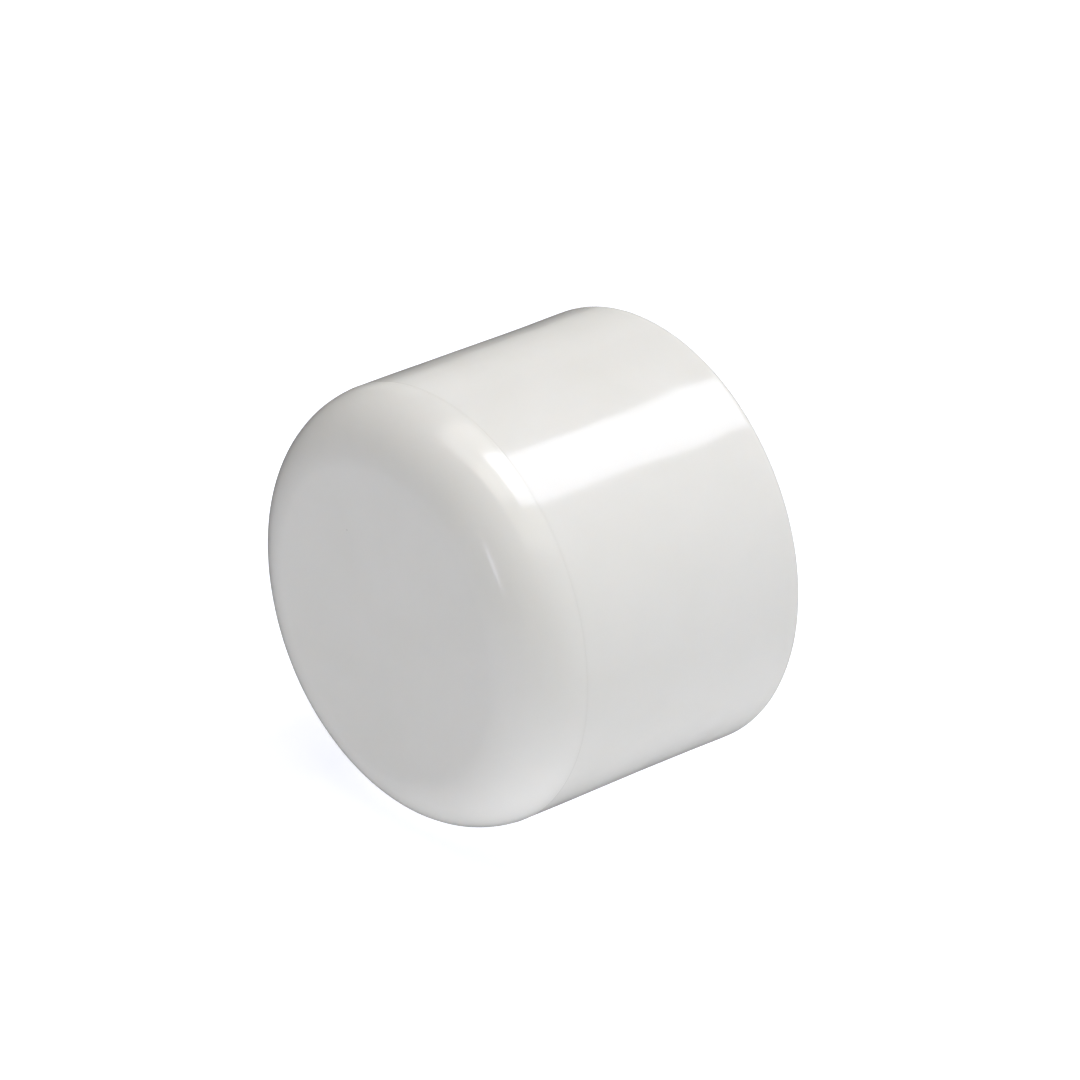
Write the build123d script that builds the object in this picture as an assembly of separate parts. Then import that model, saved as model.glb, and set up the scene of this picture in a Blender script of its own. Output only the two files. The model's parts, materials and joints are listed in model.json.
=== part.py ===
"""Slip pipe cap for 1 inch rigid PVC pipe, cemented over the pipe's end.

The cap is a single injection moulding. Its bore axis is Y: the mouth faces +Y and the closed end
faces -Y. The origin is on the axis, in the plane of the ledge that the pipe's end stops against.
"""
from build123d import *
import math
import os

# ---- Driving dimensions, in millimetres ----

# Socket for the pipe
pipe_outer_diameter = 33.4      # 1 inch nominal pipe
land_clearance = 0.0            # radial, between the pipe and the parallel land
entry_clearance = 0.13          # radial, between the pipe and the wide end of the taper
socket_depth = 22.5             # mouth rim to the ledge
land_length = 9.0               # parallel stretch next to the ledge, where the pipe grips
lead_in = 0.9                   # 45 degree chamfer at the mouth

# Walls
skirt_wall = 4.1                # around the land
end_wall = 4.8                  # closed end
corner_radius = 6.3             # large round between the closed end face and the skirt
skirt_draft = 0.5               # degrees: the skirt widens towards the mouth to leave the mould
rim_edge_radius = 0.6           # outer edge of the mouth rim

# Recess beyond the ledge
ledge_width = 1.7               # half of the pipe's own wall
recess_depth = 3.9              # ledge to the inside of the closed end
recess_corner_radius = 2.6

# Marks that the mould leaves
witness_setback = 0.35          # end of the rounded corner back to the joint of the mould's end insert
witness_proud = 0.02            # height of the fine line above the skin
witness_section_radius = 0.12
gate_diameter = 3.2             # trimmed stub of the injection gate, inside the closed end
gate_height = 0.5
dish_diameter = 8.0             # shallow dish that keeps the stub below the recess floor
dish_depth = 0.9

# ---- Sizes that follow ----

pipe_radius = pipe_outer_diameter / 2
land_radius = pipe_radius + land_clearance
entry_radius = pipe_radius + entry_clearance
recess_radius = land_radius - ledge_width

mouth_y = socket_depth
floor_y = -recess_depth
closed_y = floor_y - end_wall
dish_y = floor_y - dish_depth

draft_slope = math.tan(math.radians(skirt_draft))
corner_end_y = closed_y + corner_radius
witness_y = corner_end_y - witness_setback
skirt_radius = land_radius + skirt_wall         # where the skirt leaves the rounded corner


def skirtRadiusAt(y):
    """Radius of the drafted skirt, carried on as a straight line past the rounded corner."""
    return skirt_radius + (y - corner_end_y) * draft_slope


def roundAt(face, point, radius):
    """Round the section's corner that lies at the point."""
    corner = face.vertices().sort_by_distance(Vector(*point))[0]
    return fillet(corner, radius)


def bodySection():
    """Half section of the moulding: X is the radius, Y runs along the bore."""
    face_edge = (skirtRadiusAt(closed_y), closed_y)
    rim_edge = (skirtRadiusAt(mouth_y), mouth_y)
    recess_corner = (recess_radius, floor_y)
    outline = [
        (0, closed_y),
        face_edge,
        rim_edge,
        (entry_radius + lead_in, mouth_y),
        (entry_radius, mouth_y - lead_in),
        (land_radius, land_length),
        (land_radius, 0),
        (recess_radius, 0),
        recess_corner,
        (dish_diameter / 2, floor_y),
        (dish_diameter / 2, dish_y),
        (gate_diameter / 2, dish_y),
        (gate_diameter / 2, dish_y + gate_height),
        (0, dish_y + gate_height),
    ]
    with BuildSketch() as section:
        with BuildLine():
            Polyline(*outline, close=True)
        make_face()
        roundAt(section, face_edge, corner_radius)
        roundAt(section, rim_edge, rim_edge_radius)
        roundAt(section, recess_corner, recess_corner_radius)
    return section.sketch


def witnessSection():
    """Round section of the fine raised line, mostly sunk in the rounded corner."""
    corner_centre = skirt_radius - corner_radius / math.cos(math.radians(skirt_draft))
    skin_radius = corner_centre + math.sqrt(corner_radius**2 - witness_setback**2)
    sunk = witness_section_radius - witness_proud
    return Pos(skin_radius - sunk, witness_y) * Circle(witness_section_radius)


def capBody():
    body = revolve(bodySection(), Axis.Y)
    witness_line = revolve(witnessSection(), Axis.Y)
    return body + witness_line


os.makedirs("parts", exist_ok=True)
cap = capBody()
cap.label = "cap_body"
export_step(cap, "parts/cap_body.step")

print("skirt diameter", round(2 * skirt_radius, 3))
print("rim diameter", round(2 * skirtRadiusAt(mouth_y), 3))
print("length", round(mouth_y - closed_y, 3))
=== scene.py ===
import bpy
import json
import math
from mathutils import Matrix, Vector


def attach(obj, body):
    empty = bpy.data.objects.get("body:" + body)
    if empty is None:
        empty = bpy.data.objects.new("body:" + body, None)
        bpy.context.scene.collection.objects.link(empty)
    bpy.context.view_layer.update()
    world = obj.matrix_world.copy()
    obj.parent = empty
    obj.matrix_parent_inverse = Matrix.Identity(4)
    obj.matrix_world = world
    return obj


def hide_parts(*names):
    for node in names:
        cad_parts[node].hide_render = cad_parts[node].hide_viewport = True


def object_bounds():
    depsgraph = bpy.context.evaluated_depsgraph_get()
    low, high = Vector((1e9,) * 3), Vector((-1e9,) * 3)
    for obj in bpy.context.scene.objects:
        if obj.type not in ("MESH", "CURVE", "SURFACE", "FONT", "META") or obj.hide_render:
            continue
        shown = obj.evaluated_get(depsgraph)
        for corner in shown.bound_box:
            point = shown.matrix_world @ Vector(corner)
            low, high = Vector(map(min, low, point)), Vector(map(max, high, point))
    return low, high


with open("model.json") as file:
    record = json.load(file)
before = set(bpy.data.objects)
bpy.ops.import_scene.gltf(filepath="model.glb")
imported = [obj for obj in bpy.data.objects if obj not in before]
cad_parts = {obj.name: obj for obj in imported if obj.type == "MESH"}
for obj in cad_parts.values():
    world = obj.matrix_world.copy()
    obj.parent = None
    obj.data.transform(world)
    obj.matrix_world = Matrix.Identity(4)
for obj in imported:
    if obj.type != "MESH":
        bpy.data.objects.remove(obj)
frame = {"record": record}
cadLow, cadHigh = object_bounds()
mm = 0.001
socket = next(m for m in frame["record"]["mounts"] if m["name"] == "pipe_socket")
print("frame loaded, mouth at y =", round(cadHigh.y / mm, 2), "mm")


# helpers

def toLinear(hexCode):
    # sRGB hex to the linear colour that the shader works in
    parts = [int(hexCode[i:i + 2], 16) / 255 for i in (1, 3, 5)]
    linear = [p / 12.92 if p <= 0.04045 else ((p + 0.055) / 1.055) ** 2.4 for p in parts]
    return (*linear, 1.0)


def addNode(tree, kind, settings=None, values=None, links=None):
    # settings are the node's own fields, values fill its sockets, links bring in other sockets
    node = tree.nodes.new(kind)
    for name, value in (settings or {}).items():
        setattr(node, name, value)
    for name, value in (values or {}).items():
        node.inputs[name].default_value = value
    for name, source in (links or {}).items():
        tree.links.new(source, node.inputs[name])
    return node


def newMaterial(name):
    material = bpy.data.materials.new(name)
    material.use_nodes = True
    tree = material.node_tree
    tree.nodes.clear()
    return material, tree


def linkObject(obj):
    bpy.context.scene.collection.objects.link(obj)
    return obj


# the moulding's section, lengths in mm: radius along X, bore along Y

capShape = {
    "cornerRadius": 6.3,
    "skirtWall": 4.1,
    "skirtDraft": math.radians(0.5),
    "rimEdge": 0.6,
    "entryClearance": 0.13,
    "leadIn": 0.9,
    "ledgeWidth": 1.7,
    "recessDepth": 3.9,
    "recessCorner": 2.6,
    "dishRadius": 4.0,
    "dishDepth": 0.9,
    "gateRadius": 1.6,
    "gateHeight": 0.5,
    "softEdge": 0.15,          # every sharp corner of the steel leaves at least this round
    "innerEdge": 0.3,
    "taperEnd": 1.5,           # where the tapered entry runs into the land
    "witnessSetback": 0.35,    # fine line of the end insert, back from the corner's end
    "witnessProud": 0.016,
    "witnessWidth": 0.07,
    "lineWidth": 0.15,         # painted shade and a little dust along the fine line
    "outerBand": 1.0,          # a point further in than this is not on the outer skin
    "sinkDepth": 0.13,         # shrinkage waves of the outer skin, inwards, times a noise of 0 to 1
    "sinkSize": 8.0,
    "sinkStart": 1.5,          # the waves begin this far from the mouth and are full after sinkFade
    "sinkFade": 4,
    "tornHeight": 0.12,        # where the gate was twisted off
    "tornBand": 0.05,          # depth of the gate's top that is torn
    "tornScale": 1400.0,       # grains to the metre, so each is about 0.7 mm
    "seed": 4,
    # how finely the section is divided
    "segments": 288,           # round the bore
    "fineTurn": 2.5,           # degrees between rows on a corner larger than largeCorner
    "coarseTurn": 15,
    "largeCorner": 1,          # mm
    "fewest": 4,               # steps on any corner
    "lineRows": 8,             # each side of the fine line, out to lineReach times its width
    "lineReach": 3,
    "support": 0.08,           # mm from a run's end to its first row
    "run": 0.7,                # mm between rows on a straight run
    "weld": 0.0005,            # mm
}
zones = {"skin": 0, "rim": 1, "core": 2, "gate": 3}


def skirtRadius(y):
    s = capShape
    cornerEnd = cadLow.y / mm + s["cornerRadius"]
    return socket["dims"]["r_mm"] + s["skirtWall"] + (y - cornerEnd) * math.tan(s["skirtDraft"])


def outlineCorners():
    # each corner: point, round, and the zone of the run that leaves it
    s = capShape
    closed = cadLow.y / mm
    mouth = cadHigh.y / mm
    land = socket["dims"]["r_mm"]
    entry = land + s["entryClearance"]
    recess = land - s["ledgeWidth"]
    floorY = -s["recessDepth"]
    dishY = floorY - s["dishDepth"]
    gateY = dishY + s["gateHeight"]
    soft = s["softEdge"]
    inner = s["innerEdge"]
    return [
        ((0, closed), 0, "skin"),
        ((skirtRadius(closed), closed), s["cornerRadius"], "skin"),
        ((skirtRadius(mouth), mouth), s["rimEdge"], "rim"),
        ((entry + s["leadIn"], mouth), soft, "core"),
        ((entry, mouth - s["leadIn"]), inner, "core"),
        ((land, socket["dims"]["length_mm"]), s["taperEnd"], "core"),
        ((land, 0), inner, "core"),
        ((recess, 0), soft, "core"),
        ((recess, floorY), s["recessCorner"], "core"),
        ((s["dishRadius"], floorY), inner, "core"),
        ((s["dishRadius"], dishY), inner, "core"),
        ((s["gateRadius"], dishY), soft, "gate"),
        ((s["gateRadius"], gateY), soft, "gate"),
        ((0, gateY), 0, "gate"),
    ]


def arcPoints(before, corner, after, size):
    # tangent arc in the corner, with steps small enough to look smooth
    toBefore = (before - corner).normalized()
    toAfter = (after - corner).normalized()
    half = toBefore.angle(toAfter) / 2
    centre = corner + (toBefore + toAfter).normalized() * size / math.sin(half)
    start = corner + toBefore * size / math.tan(half) - centre
    turn = math.pi - 2 * half
    sign = 1 if start.x * toBefore.y - start.y * toBefore.x < 0 else -1
    large = size > capShape["largeCorner"]
    step = capShape["fineTurn"] if large else capShape["coarseTurn"]
    steps = max(capShape["fewest"], math.ceil(turn / math.radians(step)))
    marks = [turn * i / steps for i in range(steps + 1)]
    if size == capShape["cornerRadius"]:
        # close rows over the witness line
        lineAt = turn - math.asin(capShape["witnessSetback"] / size)
        reach = capShape["witnessWidth"] * capShape["lineReach"]
        rows = capShape["lineRows"]
        marks = [m for m in marks if abs(m - lineAt) * size > reach]
        marks += [lineAt + reach / size * i / rows for i in range(-rows, rows + 1)]
    points = []
    for mark in sorted(marks):
        spoke = Matrix.Rotation(sign * mark, 2) @ start
        points.append(centre + spoke)
    return points


def outlinePoints():
    # rounded corners joined by straight runs; a support row by each end keeps the flats flat
    corners = outlineCorners()
    spots = [Vector(c[0]) for c in corners]
    pieces = [[spots[0]]]
    for i in range(1, len(corners) - 1):
        pieces.append(arcPoints(spots[i - 1], spots[i], spots[i + 1], corners[i][1]))
    pieces.append([spots[-1]])
    points = []
    for i, piece in enumerate(pieces):
        zone = "skin" if corners[i][2] == "rim" else corners[i][2]
        points += [(p, zone) for p in piece[:-1]]
        points.append((piece[-1], corners[i][2]))
        if i + 1 < len(pieces):
            start, end = piece[-1], pieces[i + 1][0]
            length = (end - start).length
            support = min(capShape["support"], length / 4)
            inner = max(1, round((length - 2 * support) / capShape["run"]))
            stops = [support + (length - 2 * support) * k / inner for k in range(inner + 1)]
            points += [(start.lerp(end, s / length), corners[i][2]) for s in stops]
    return points


def nearWitness(point, width):
    # 1 on the fine line of the outer skin, a third of that at the width, then fading to 0
    s = capShape
    lineY = cadLow.y / mm + s["cornerRadius"] - s["witnessSetback"]
    if point.x < skirtRadius(lineY) - s["outerBand"]:
        return 0.0
    return math.exp(-((point.y - lineY) / width) ** 2)


def sectionObject():
    points = outlinePoints()
    mesh = bpy.data.meshes.new("cap_section")
    proud, width = capShape["witnessProud"], capShape["witnessWidth"]
    rows = [((p.x + proud * nearWitness(p, width)) * mm, p.y * mm, 0) for p, zone in points]
    mesh.from_pydata(rows, [(i, i + 1) for i in range(len(rows) - 1)], [])
    sinkTop = cadHigh.y / mm - capShape["sinkStart"]
    tornFrom = outlineCorners()[-1][0][1] - capShape["tornBand"]
    fromRim = [min(1.0, max(0.0, (sinkTop - p.y) / capShape["sinkFade"])) for p, zone in points]
    carried = {
        "zone": [zones[zone] for p, zone in points],
        "sink": [fromRim[i] if zone == "skin" else 0.0 for i, (p, zone) in enumerate(points)],
        "torn": [1.0 if zone == "gate" and p.y > tornFrom else 0.0 for p, zone in points],
        # mask for the painted shade and dust along the fine line
        "line": [nearWitness(p, capShape["lineWidth"]) for p, zone in points],
    }
    for name, values in carried.items():
        mesh.attributes.new(name, "FLOAT", "POINT").data.foreach_set("value", values)
    print("section of", len(rows), "points")
    return linkObject(bpy.data.objects.new("cap_section", mesh))


# geometry nodes: turn the section about the bore, weld it and give each zone its material

def latheTree(materials):
    tree = bpy.data.node_groups.new("turned_moulding", "GeometryNodeTree")
    face = tree.interface
    face.new_socket("Section", in_out="INPUT", socket_type="NodeSocketGeometry")
    face.new_socket("Segments", in_out="INPUT", socket_type="NodeSocketInt")
    for name in ("Weld Distance", "Sink Depth", "Sink Size", "Torn Height", "Seed"):
        face.new_socket(name, in_out="INPUT", socket_type="NodeSocketFloat")
    for name in materials:
        face.new_socket(name, in_out="INPUT", socket_type="NodeSocketMaterial")
    face.new_socket("Moulding", in_out="OUTPUT", socket_type="NodeSocketGeometry")

    given = addNode(tree, "NodeGroupInput").outputs
    size = addNode(tree, "GeometryNodeAttributeDomainSize", {"component": "MESH"},
                   links={"Geometry": given["Section"]})
    rows = size.outputs["Point Count"]
    columns = addNode(tree, "ShaderNodeMath", {"operation": "ADD"}, {1: 1.0}, {0: given["Segments"]})
    grid = addNode(tree, "GeometryNodeMeshGrid",
                   links={"Vertices X": columns.outputs[0], "Vertices Y": rows})
    index = addNode(tree, "GeometryNodeInputIndex").outputs[0]

    # a grid counts its points along Y first: the row is the remainder, the column the quotient
    row = addNode(tree, "ShaderNodeMath", {"operation": "MODULO"}, links={0: index, 1: rows})
    share = addNode(tree, "ShaderNodeMath", {"operation": "DIVIDE"}, links={0: index, 1: rows})
    column = addNode(tree, "ShaderNodeMath", {"operation": "FLOOR"}, links={0: share.outputs[0]})
    part = addNode(tree, "ShaderNodeMath", {"operation": "DIVIDE"},
                   links={0: column.outputs[0], 1: given["Segments"]})
    angle = addNode(tree, "ShaderNodeMath", {"operation": "MULTIPLY"}, {1: math.tau},
                    {0: part.outputs[0]})

    place = addNode(tree, "GeometryNodeInputPosition").outputs[0]
    spot = addNode(tree, "GeometryNodeSampleIndex", {"data_type": "FLOAT_VECTOR"},
                   links={"Geometry": given["Section"], "Value": place, "Index": row.outputs[0]})
    split = addNode(tree, "ShaderNodeSeparateXYZ", links={0: spot.outputs[0]})
    cosine = addNode(tree, "ShaderNodeMath", {"operation": "COSINE"}, links={0: angle.outputs[0]})
    sine = addNode(tree, "ShaderNodeMath", {"operation": "SINE"}, links={0: angle.outputs[0]})
    across = addNode(tree, "ShaderNodeMath", {"operation": "MULTIPLY"},
                     links={0: split.outputs["X"], 1: cosine.outputs[0]})
    upward = addNode(tree, "ShaderNodeMath", {"operation": "MULTIPLY"},
                     links={0: split.outputs["X"], 1: sine.outputs[0]})
    turned = addNode(tree, "ShaderNodeCombineXYZ",
                     links={"X": across.outputs[0], "Y": split.outputs["Y"], "Z": upward.outputs[0]})
    shell = addNode(tree, "GeometryNodeSetPosition",
                    links={"Geometry": grid.outputs["Mesh"], "Position": turned.outputs[0]})

    # what the section's points carry goes on to their rows
    current = shell.outputs[0]
    for name in ("sink", "torn", "line"):
        carried = addNode(tree, "GeometryNodeInputNamedAttribute", {"data_type": "FLOAT"}, {"Name": name})
        taken = addNode(tree, "GeometryNodeSampleIndex", {"data_type": "FLOAT"},
                        links={"Geometry": given["Section"], "Value": carried.outputs[0],
                               "Index": row.outputs[0]})
        stored = addNode(tree, "GeometryNodeStoreNamedAttribute",
                         {"data_type": "FLOAT", "domain": "POINT"}, {"Name": name},
                         {"Geometry": current, "Value": taken.outputs[0]})
        current = stored.outputs[0]

    # a face lies between two rows and takes the zone of the first
    faceRows = addNode(tree, "ShaderNodeMath", {"operation": "SUBTRACT"}, {1: 1.0}, {0: rows})
    faceRow = addNode(tree, "ShaderNodeMath", {"operation": "MODULO"},
                      links={0: index, 1: faceRows.outputs[0]})
    zoneIn = addNode(tree, "GeometryNodeInputNamedAttribute", {"data_type": "FLOAT"}, {"Name": "zone"})
    zoneAt = addNode(tree, "GeometryNodeSampleIndex", {"data_type": "FLOAT"},
                     links={"Geometry": given["Section"], "Value": zoneIn.outputs[0],
                            "Index": faceRow.outputs[0]})
    zoned = addNode(tree, "GeometryNodeStoreNamedAttribute", {"data_type": "FLOAT", "domain": "FACE"},
                    {"Name": "zone"}, {"Geometry": current, "Value": zoneAt.outputs[0]})
    welded = addNode(tree, "GeometryNodeMergeByDistance",
                     links={"Geometry": zoned.outputs[0], "Distance": given["Weld Distance"]})
    outward = addNode(tree, "GeometryNodeFlipFaces", links={0: welded.outputs[0]})

    # shallow waves sunk in the skin, then the torn top of the gate
    normal = addNode(tree, "GeometryNodeInputNormal").outputs[0]
    waves = addNode(tree, "ShaderNodeTexNoise", {"noise_dimensions": "4D"},
                    {"Detail": 1.0, "Roughness": 0.4},
                    {"Vector": place, "W": given["Seed"], "Scale": given["Sink Size"]})
    sinkIn = addNode(tree, "GeometryNodeInputNamedAttribute", {"data_type": "FLOAT"}, {"Name": "sink"})
    depth = addNode(tree, "ShaderNodeMath", {"operation": "MULTIPLY"},
                    links={0: waves.outputs[0], 1: sinkIn.outputs[0]})
    inward = addNode(tree, "ShaderNodeMath", {"operation": "MULTIPLY"},
                     links={0: depth.outputs[0], 1: given["Sink Depth"]})
    push = addNode(tree, "ShaderNodeVectorMath", {"operation": "SCALE"},
                   links={0: normal, "Scale": inward.outputs[0]})
    sunk = addNode(tree, "GeometryNodeSetPosition",
                   links={"Geometry": outward.outputs[0], "Offset": push.outputs[0]})
    grains = addNode(tree, "ShaderNodeTexNoise", {"noise_dimensions": "4D"},
                     {"Scale": capShape["tornScale"], "Detail": 4.0},
                     {"Vector": place, "W": given["Seed"]})
    tornIn = addNode(tree, "GeometryNodeInputNamedAttribute", {"data_type": "FLOAT"}, {"Name": "torn"})
    ragged = addNode(tree, "ShaderNodeMath", {"operation": "MULTIPLY"},
                     links={0: grains.outputs[0], 1: tornIn.outputs[0]})
    lift = addNode(tree, "ShaderNodeMath", {"operation": "MULTIPLY"},
                   links={0: ragged.outputs[0], 1: given["Torn Height"]})
    raised = addNode(tree, "ShaderNodeCombineXYZ", links={"Y": lift.outputs[0]})
    torn = addNode(tree, "GeometryNodeSetPosition",
                   links={"Geometry": sunk.outputs[0], "Offset": raised.outputs[0]})
    smooth = addNode(tree, "GeometryNodeSetShadeSmooth", links={0: torn.outputs[0]})
    real = addNode(tree, "GeometryNodeRealizeInstances", links={0: smooth.outputs[0]})
    current = real.outputs[0]
    zoneFace = addNode(tree, "GeometryNodeInputNamedAttribute", {"data_type": "FLOAT"}, {"Name": "zone"})
    for number, name in enumerate(materials):
        same = addNode(tree, "FunctionNodeCompare", {"data_type": "FLOAT", "operation": "EQUAL"},
                       {"B": float(number), "Epsilon": 0.1}, {"A": zoneFace.outputs[0]})
        painted = addNode(tree, "GeometryNodeSetMaterial",
                          links={"Geometry": current, "Selection": same.outputs[0],
                                 "Material": given[name]})
        current = painted.outputs[0]
    addNode(tree, "NodeGroupOutput", links={"Moulding": current})
    return tree


def turnedMoulding(section, materials):
    tree = latheTree(materials)
    modifier = section.modifiers.new("turned", "NODES")
    modifier.node_group = tree
    inputs = {item.name: item.identifier for item in tree.interface.items_tree if item.in_out == "INPUT"}
    chosen = {
        "Segments": capShape["segments"],
        "Weld Distance": capShape["weld"] * mm,
        "Sink Depth": -capShape["sinkDepth"] * mm,
        "Sink Size": 1 / (capShape["sinkSize"] * mm),
        "Torn Height": capShape["tornHeight"] * mm,
        "Seed": float(capShape["seed"]),
        **materials,
    }
    for name, value in chosen.items():
        modifier[inputs[name]] = value
    graph = bpy.context.evaluated_depsgraph_get()
    mesh = bpy.data.meshes.new_from_object(section.evaluated_get(graph))
    mesh.name = "cap_moulding"
    bpy.data.objects.remove(section)
    return linkObject(bpy.data.objects.new("cap_moulding", mesh))


# materials; Object coordinates are scaled to mm, so each scale below is one over a length in mm

def objectMm(tree):
    coords = addNode(tree, "ShaderNodeTexCoord")
    scaled = addNode(tree, "ShaderNodeMapping", values={"Scale": (1 / mm,) * 3},
                     links={"Vector": coords.outputs["Object"]})
    return scaled.outputs[0]


# shared by the cap's surfaces: all but the torn gate let light a little way into the white plastic
pvc = {
    "ior": 1.54,
    "scatter": 0.25,
    "scatterColour": (1.0, 0.9, 0.8),
    "scatterDepth": 0.9,       # mm
}
# sizes and heights are in mm
skinLook = {
    "colour": "#F3F2EE",
    "shade": "#ECEBE5",
    "flowSize": 14,            # clouds of slightly warmer white
    "speck": "#8F8B80",
    "speckSpacing": 4.5,       # one place for a speck in each cell of this size
    "speckCore": 0.012,        # shares of the spacing: the dark middle and the end of the soft edge
    "speckEdge": 0.03,
    "speckRarity": 0.86,       # share of the places that stay empty
    # painted shade along the fine line, with a little dust: its colour and how much of it is mixed in
    "lineDustAndShade": "#A8A294",
    "lineDustAndShadeAmount": 0.06,
    "roughness": (0.12, 0.18),
    "hazeSize": 6,
    "hazeRange": (0.35, 0.75),     # noise values at the two ends of the roughness
    "waveSize": 5,
    "waveHeight": 0.0015,
    "peelSize": 0.5,
    "peelHeight": 0.0004,
}


def glossyMouldedPvc():
    # rigid PVC against a polished cavity: a hard clean gloss over a milky, slightly warm white
    look = skinLook
    material, tree = newMaterial("rigid_pvc_polished_mould")
    place = objectMm(tree)
    flow = addNode(tree, "ShaderNodeTexNoise", values={"Scale": 1 / look["flowSize"], "Detail": 3.0,
                                                     "Distortion": 0.8},
                   links={"Vector": place})
    tint = addNode(tree, "ShaderNodeMix", {"data_type": "RGBA"},
                   {"A": toLinear(look["colour"]), "B": toLinear(look["shade"])},
                   {"Factor": flow.outputs[0]})
    # rare dark specks of burnt resin, a tenth of a millimetre; the soft edge is as wide as it
    # needs to be for them to show
    cells = addNode(tree, "ShaderNodeTexVoronoi", {"feature": "F1"},
                    {"Scale": 1 / look["speckSpacing"]}, {"Vector": place})
    small = addNode(tree, "ShaderNodeMapRange",
                    values={"From Min": look["speckCore"], "From Max": look["speckEdge"],
                            "To Min": 1.0, "To Max": 0.0},
                    links={"Value": cells.outputs["Distance"]})
    chance = addNode(tree, "ShaderNodeSeparateColor", links={0: cells.outputs["Color"]})
    rare = addNode(tree, "ShaderNodeMath", {"operation": "GREATER_THAN"}, {1: look["speckRarity"]},
                   {0: chance.outputs[0]})
    specks = addNode(tree, "ShaderNodeMath", {"operation": "MULTIPLY"},
                     links={0: small.outputs[0], 1: rare.outputs[0]})
    specked = addNode(tree, "ShaderNodeMix", {"data_type": "RGBA"}, {"B": toLinear(look["speck"])},
                      {"Factor": specks.outputs[0], "A": tint.outputs["Result"]})
    # painted shade of the fine line's crease, with a little dust, darkens the colour there, so it reads
    # as a grey hair all the way round
    line = addNode(tree, "ShaderNodeAttribute", {"attribute_name": "line"})
    dustAndShade = addNode(tree, "ShaderNodeMath", {"operation": "MULTIPLY"}, {1: look["lineDustAndShadeAmount"]},
                   {0: line.outputs["Fac"]})
    colour = addNode(tree, "ShaderNodeMix", {"data_type": "RGBA"}, {"B": toLinear(look["lineDustAndShade"])},
                     {"Factor": dustAndShade.outputs[0], "A": specked.outputs["Result"]})
    # handling haze: patches a little less sharp than the polished skin
    haze = addNode(tree, "ShaderNodeTexNoise", values={"Scale": 1 / look["hazeSize"], "Detail": 6.0,
                                                     "Roughness": 0.65},
                   links={"Vector": place})
    rough = addNode(tree, "ShaderNodeMapRange",
                    values={"From Min": look["hazeRange"][0], "From Max": look["hazeRange"][1],
                            "To Min": look["roughness"][0], "To Max": look["roughness"][1]},
                    links={"Value": haze.outputs[0]})
    # long waves of the cooling melt, then a fine orange peel
    waves = addNode(tree, "ShaderNodeTexNoise", values={"Scale": 1 / look["waveSize"], "Detail": 1.0},
                    links={"Vector": place})
    wavy = addNode(tree, "ShaderNodeBump", values={"Distance": look["waveHeight"] * mm},
                   links={"Height": waves.outputs[0]})
    peel = addNode(tree, "ShaderNodeTexNoise", values={"Scale": 1 / look["peelSize"], "Detail": 2.0},
                   links={"Vector": place})
    peeled = addNode(tree, "ShaderNodeBump", values={"Distance": look["peelHeight"] * mm},
                     links={"Height": peel.outputs[0], "Normal": wavy.outputs[0]})
    shader = addNode(tree, "ShaderNodeBsdfPrincipled",
                     {"subsurface_method": "RANDOM_WALK"},
                     {"IOR": pvc["ior"], "Subsurface Weight": pvc["scatter"],
                      "Subsurface Radius": pvc["scatterColour"],
                      "Subsurface Scale": pvc["scatterDepth"] * mm},
                     {"Base Color": colour.outputs["Result"], "Roughness": rough.outputs[0],
                      "Normal": peeled.outputs[0]})
    addNode(tree, "ShaderNodeOutputMaterial", links={"Surface": shader.outputs[0]})
    return material


coreLook = {
    "colour": "#F0EFEA",
    "shade": "#E6E4DC",
    "roughness": (0.3, 0.42),
    "patchSize": 5,
    "patchRange": (0.35, 0.7),
    "turningPitch": 0.35,      # real lathe marks are near 0.1, too fine to show
    "turningHeight": 0.003,
    "gritSize": 0.8,           # breaks the rings up
    "rimPitch": 0.6,           # the rim's rings are closer, by this factor
}


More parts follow.
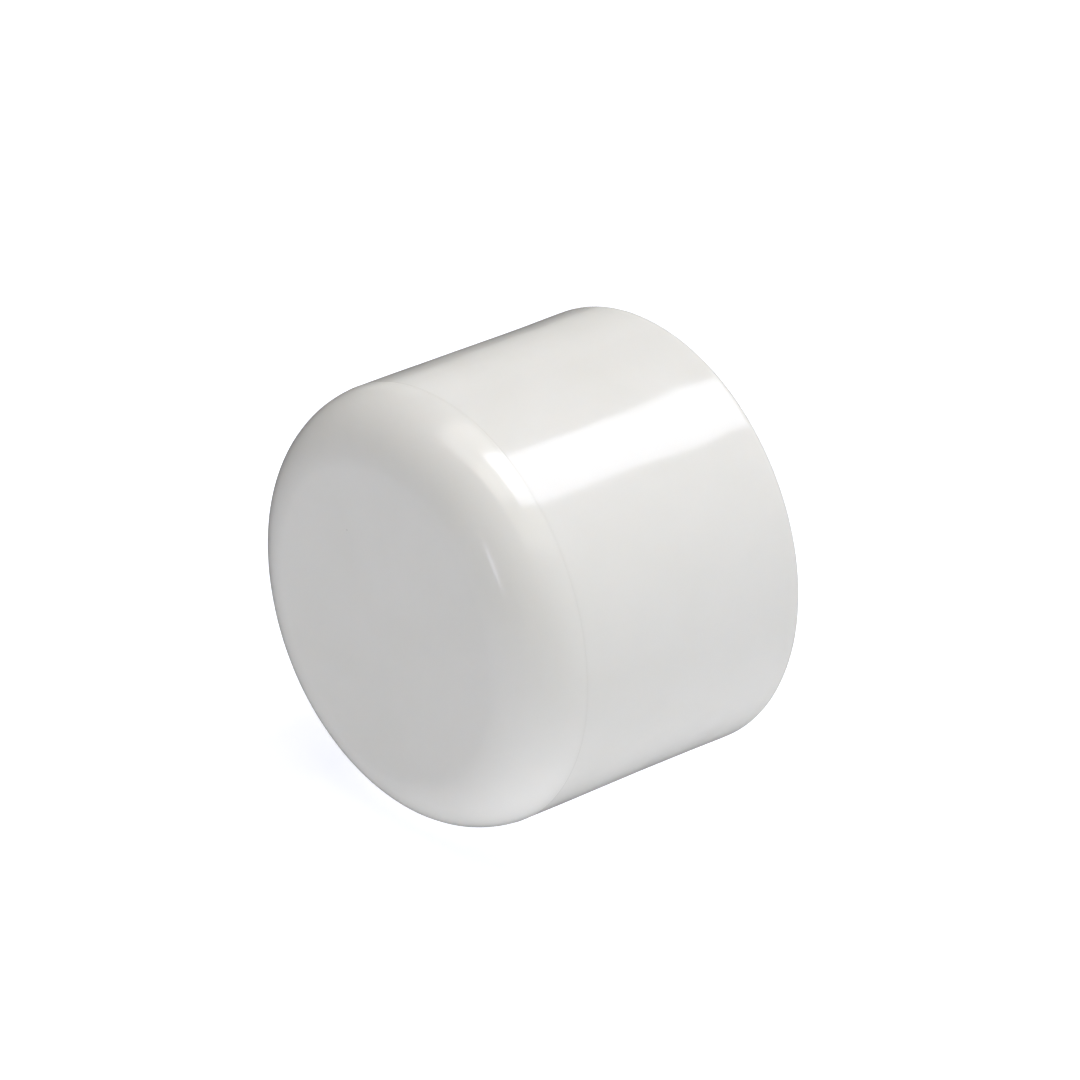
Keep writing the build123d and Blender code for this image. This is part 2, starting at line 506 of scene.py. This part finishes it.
def turnedCorePvc(name, pitchFactor):
    # rigid PVC against a turned steel core: a satin skin with faint rings from the lathe tool
    look = coreLook
    material, tree = newMaterial(name)
    place = objectMm(tree)
    axes = addNode(tree, "ShaderNodeSeparateXYZ", links={0: place})
    flatPlace = addNode(tree, "ShaderNodeCombineXYZ",
                        links={"X": axes.outputs["X"], "Y": axes.outputs["Z"]})
    radius = addNode(tree, "ShaderNodeVectorMath", {"operation": "LENGTH"},
                     links={0: flatPlace.outputs[0]})
    along = addNode(tree, "ShaderNodeMath", {"operation": "ADD"},
                    links={0: axes.outputs["Y"], 1: radius.outputs["Value"]})
    turns = addNode(tree, "ShaderNodeMath", {"operation": "MULTIPLY"},
                    {1: math.tau / (look["turningPitch"] * pitchFactor)}, {0: along.outputs[0]})
    rings = addNode(tree, "ShaderNodeMath", {"operation": "SINE"}, links={0: turns.outputs[0]})
    grit = addNode(tree, "ShaderNodeTexNoise", values={"Scale": 1 / look["gritSize"], "Detail": 5.0},
                   links={"Vector": place})
    height = addNode(tree, "ShaderNodeMath", {"operation": "MULTIPLY"},
                     links={0: rings.outputs[0], 1: grit.outputs[0]})
    bump = addNode(tree, "ShaderNodeBump", values={"Distance": look["turningHeight"] * mm},
                   links={"Height": height.outputs[0]})
    patches = addNode(tree, "ShaderNodeTexNoise", values={"Scale": 1 / look["patchSize"], "Detail": 4.0},
                      links={"Vector": place})
    rough = addNode(tree, "ShaderNodeMapRange",
                    values={"From Min": look["patchRange"][0], "From Max": look["patchRange"][1],
                            "To Min": look["roughness"][0], "To Max": look["roughness"][1]},
                    links={"Value": patches.outputs[0]})
    tint = addNode(tree, "ShaderNodeMix", {"data_type": "RGBA"},
                   {"A": toLinear(look["colour"]), "B": toLinear(look["shade"])},
                   {"Factor": patches.outputs[0]})
    shader = addNode(tree, "ShaderNodeBsdfPrincipled", {"subsurface_method": "RANDOM_WALK"},
                     {"IOR": pvc["ior"], "Subsurface Weight": pvc["scatter"],
                      "Subsurface Radius": pvc["scatterColour"],
                      "Subsurface Scale": pvc["scatterDepth"] * mm},
                     {"Base Color": tint.outputs["Result"], "Roughness": rough.outputs[0],
                      "Normal": bump.outputs[0]})
    addNode(tree, "ShaderNodeOutputMaterial", links={"Surface": shader.outputs[0]})
    return material


gateLook = {
    "colour": "#E9E7DF",
    "whitened": "#F6F5F2",
    "roughness": (0.5, 0.75),
    "pitSize": 0.3,
    "pitHeight": 0.05,
}


def tornGatePvc():
    # rigid PVC where the gate stub was twisted off hot: a dull, whitened, pitted break
    look = gateLook
    material, tree = newMaterial("rigid_pvc_torn_gate")
    place = objectMm(tree)
    pits = addNode(tree, "ShaderNodeTexNoise", values={"Scale": 1 / look["pitSize"], "Detail": 6.0,
                                                     "Roughness": 0.7},
                   links={"Vector": place})
    bump = addNode(tree, "ShaderNodeBump", values={"Distance": look["pitHeight"] * mm},
                   links={"Height": pits.outputs[0]})
    tint = addNode(tree, "ShaderNodeMix", {"data_type": "RGBA"},
                   {"A": toLinear(look["colour"]), "B": toLinear(look["whitened"])},
                   {"Factor": pits.outputs[0]})
    rough = addNode(tree, "ShaderNodeMapRange",
                    values={"To Min": look["roughness"][0], "To Max": look["roughness"][1]},
                    links={"Value": pits.outputs[0]})
    shader = addNode(tree, "ShaderNodeBsdfPrincipled", values={"IOR": pvc["ior"]},
                     links={"Base Color": tint.outputs["Result"], "Roughness": rough.outputs[0],
                            "Normal": bump.outputs[0]})
    addNode(tree, "ShaderNodeOutputMaterial", links={"Surface": shader.outputs[0]})
    return material


# order follows the zones: skin, rim, core, gate
capMaterials = {
    "Skin": glossyMouldedPvc(),
    "Rim": turnedCorePvc("rigid_pvc_stripper_ring", coreLook["rimPitch"]),
    "Core": turnedCorePvc("rigid_pvc_turned_core", 1.0),
    "Gate": tornGatePvc(),
}
capMoulding = turnedMoulding(sectionObject(), capMaterials)
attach(capMoulding, "root")
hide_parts("cap_body")
print("moulding turned,", len(capMoulding.data.polygons), "faces")


# floor, light and camera

stage = {
    "floorColour": "#CBCBCB",
    "floorRoughness": 0.75,
    "floorSpecular": 0.2,
    "toothSize": 0.6,          # mm
    "toothHeight": 0.004,
    "glowColour": "#F5F7FF",   # light from under the sheet
    "nearGlow": 0.76,
    "farGlow": 1.0,            # stronger far out, where the sheet meets the white back
    "glowEdge": (150, 450),    # mm from the origin
    "floorRadius": 2.0,        # metres
    "floorSides": 96,
    "backColour": "#FFFFFF",
}
# each light: place and size in metres, power in watts, colour
lights = {
    "window_box": ((0.17, 0.32, 0.60), (0.34, 0.60), 2.83, "#EFF2FF"),
    "overhead_box": ((0.0, 0.0, 0.80), (0.70, 0.70), 2.97, "#FFFAF4"),
    "right_box": ((0.35, 0.0, 0.72), (0.70, 0.70), 1.52, "#FFFEF0"),
    "front_box": ((0.0, -0.35, 0.72), (0.70, 0.70), 0.16, "#D8DDFF"),
    "back_left_box": ((-0.55, 0.55, 0.25), (0.70, 0.50), 0.39, "#FFFFF8"),
    "front_strip": ((0.05, -0.59, 0.09), (0.05, 0.14), 0.08, "#E8EAFF"),
}
viewSet = {
    "azimuth": math.radians(49.04),
    "elevation": math.radians(26.12),
    "distance": 421.8 * mm,
    "right": 2.17 * mm,        # aim point, off the middle of the body
    "up": 3.05 * mm,
    "lens": 155.1,
    "clip": (0.01, 10),        # metres
}


def litAcrylicFloor():
    # matt opal acrylic lit from below, with the faint tooth of its moulded face
    material, tree = newMaterial("opal_acrylic_matt")
    place = objectMm(tree)
    tooth = addNode(tree, "ShaderNodeTexNoise", values={"Scale": 1 / stage["toothSize"], "Detail": 3.0},
                    links={"Vector": place})
    bump = addNode(tree, "ShaderNodeBump", values={"Distance": stage["toothHeight"] * mm},
                   links={"Height": tooth.outputs[0]})
    reach = addNode(tree, "ShaderNodeVectorMath", {"operation": "LENGTH"}, links={0: place})
    glow = addNode(tree, "ShaderNodeMapRange", {"interpolation_type": "SMOOTHSTEP"},
                   {"From Min": stage["glowEdge"][0], "From Max": stage["glowEdge"][1],
                    "To Min": stage["nearGlow"], "To Max": stage["farGlow"]},
                   {"Value": reach.outputs["Value"]})
    shader = addNode(tree, "ShaderNodeBsdfPrincipled",
                     values={"Base Color": toLinear(stage["floorColour"]),
                             "Roughness": stage["floorRoughness"],
                             "Specular IOR Level": stage["floorSpecular"],
                             "Emission Color": toLinear(stage["glowColour"])},
                     links={"Normal": bump.outputs[0], "Emission Strength": glow.outputs[0]})
    addNode(tree, "ShaderNodeOutputMaterial", links={"Surface": shader.outputs[0]})
    return material


def makeFloor():
    count = stage["floorSides"]
    ring = [Matrix.Rotation(math.tau * i / count, 3, "Z") @ Vector((stage["floorRadius"], 0, 0))
            for i in range(count)]
    mesh = bpy.data.meshes.new("floor")
    mesh.from_pydata([(p.x, p.y, cadLow.z) for p in ring], [], [list(range(count))])
    mesh.materials.append(litAcrylicFloor())
    floor = linkObject(bpy.data.objects.new("floor", mesh))
    # hidden from reflections, so the gloss at the cap's outline does not mirror the lit floor
    floor.visible_glossy = False


def makeWorld():
    # white that only the lens sees: the light comes from the boxes and the lit floor
    world = bpy.data.worlds.new("studio")
    world.use_nodes = True
    tree = world.node_tree
    tree.nodes.clear()
    rays = addNode(tree, "ShaderNodeLightPath")
    background = addNode(tree, "ShaderNodeBackground", values={"Color": toLinear(stage["backColour"])},
                         links={"Strength": rays.outputs["Is Camera Ray"]})
    addNode(tree, "ShaderNodeOutputWorld", links={"Surface": background.outputs[0]})
    bpy.context.scene.world = world


def softbox(name, place, size, power, colour):
    # a rectangular light that faces the cap; the window box stays level and faces down
    light = bpy.data.lights.new(name, "AREA")
    light.shape = "RECTANGLE"
    light.size, light.size_y = size
    light.energy = power
    light.color = toLinear(colour)[:3]
    lamp = linkObject(bpy.data.objects.new(name, light))
    lamp.location = place
    if name != "window_box":
        lamp.rotation_euler = (-Vector(place)).to_track_quat("-Z", "Y").to_euler()


def makeCamera():
    a, e = viewSet["azimuth"], viewSet["elevation"]
    right = Vector((math.cos(a), math.sin(a), 0))
    ahead = Vector((-math.sin(a) * math.cos(e), math.cos(a) * math.cos(e), -math.sin(e)))
    up = right.cross(ahead)
    aim = Vector((0, (cadLow.y + cadHigh.y) / 2, 0)) + right * viewSet["right"] + up * viewSet["up"]
    camera = bpy.data.cameras.new("camera")
    camera.lens = viewSet["lens"]
    camera.clip_start, camera.clip_end = viewSet["clip"]
    cameraObject = linkObject(bpy.data.objects.new("camera", camera))
    turn = Matrix((right, up, -ahead)).transposed().to_4x4()
    cameraObject.matrix_world = Matrix.Translation(aim - ahead * viewSet["distance"]) @ turn
    bpy.context.scene.camera = cameraObject


makeFloor()
makeWorld()
for name, values in lights.items():
    softbox(name, *values)
makeCamera()
bpy.context.scene.view_settings.view_transform = "Standard"
print("stage set")
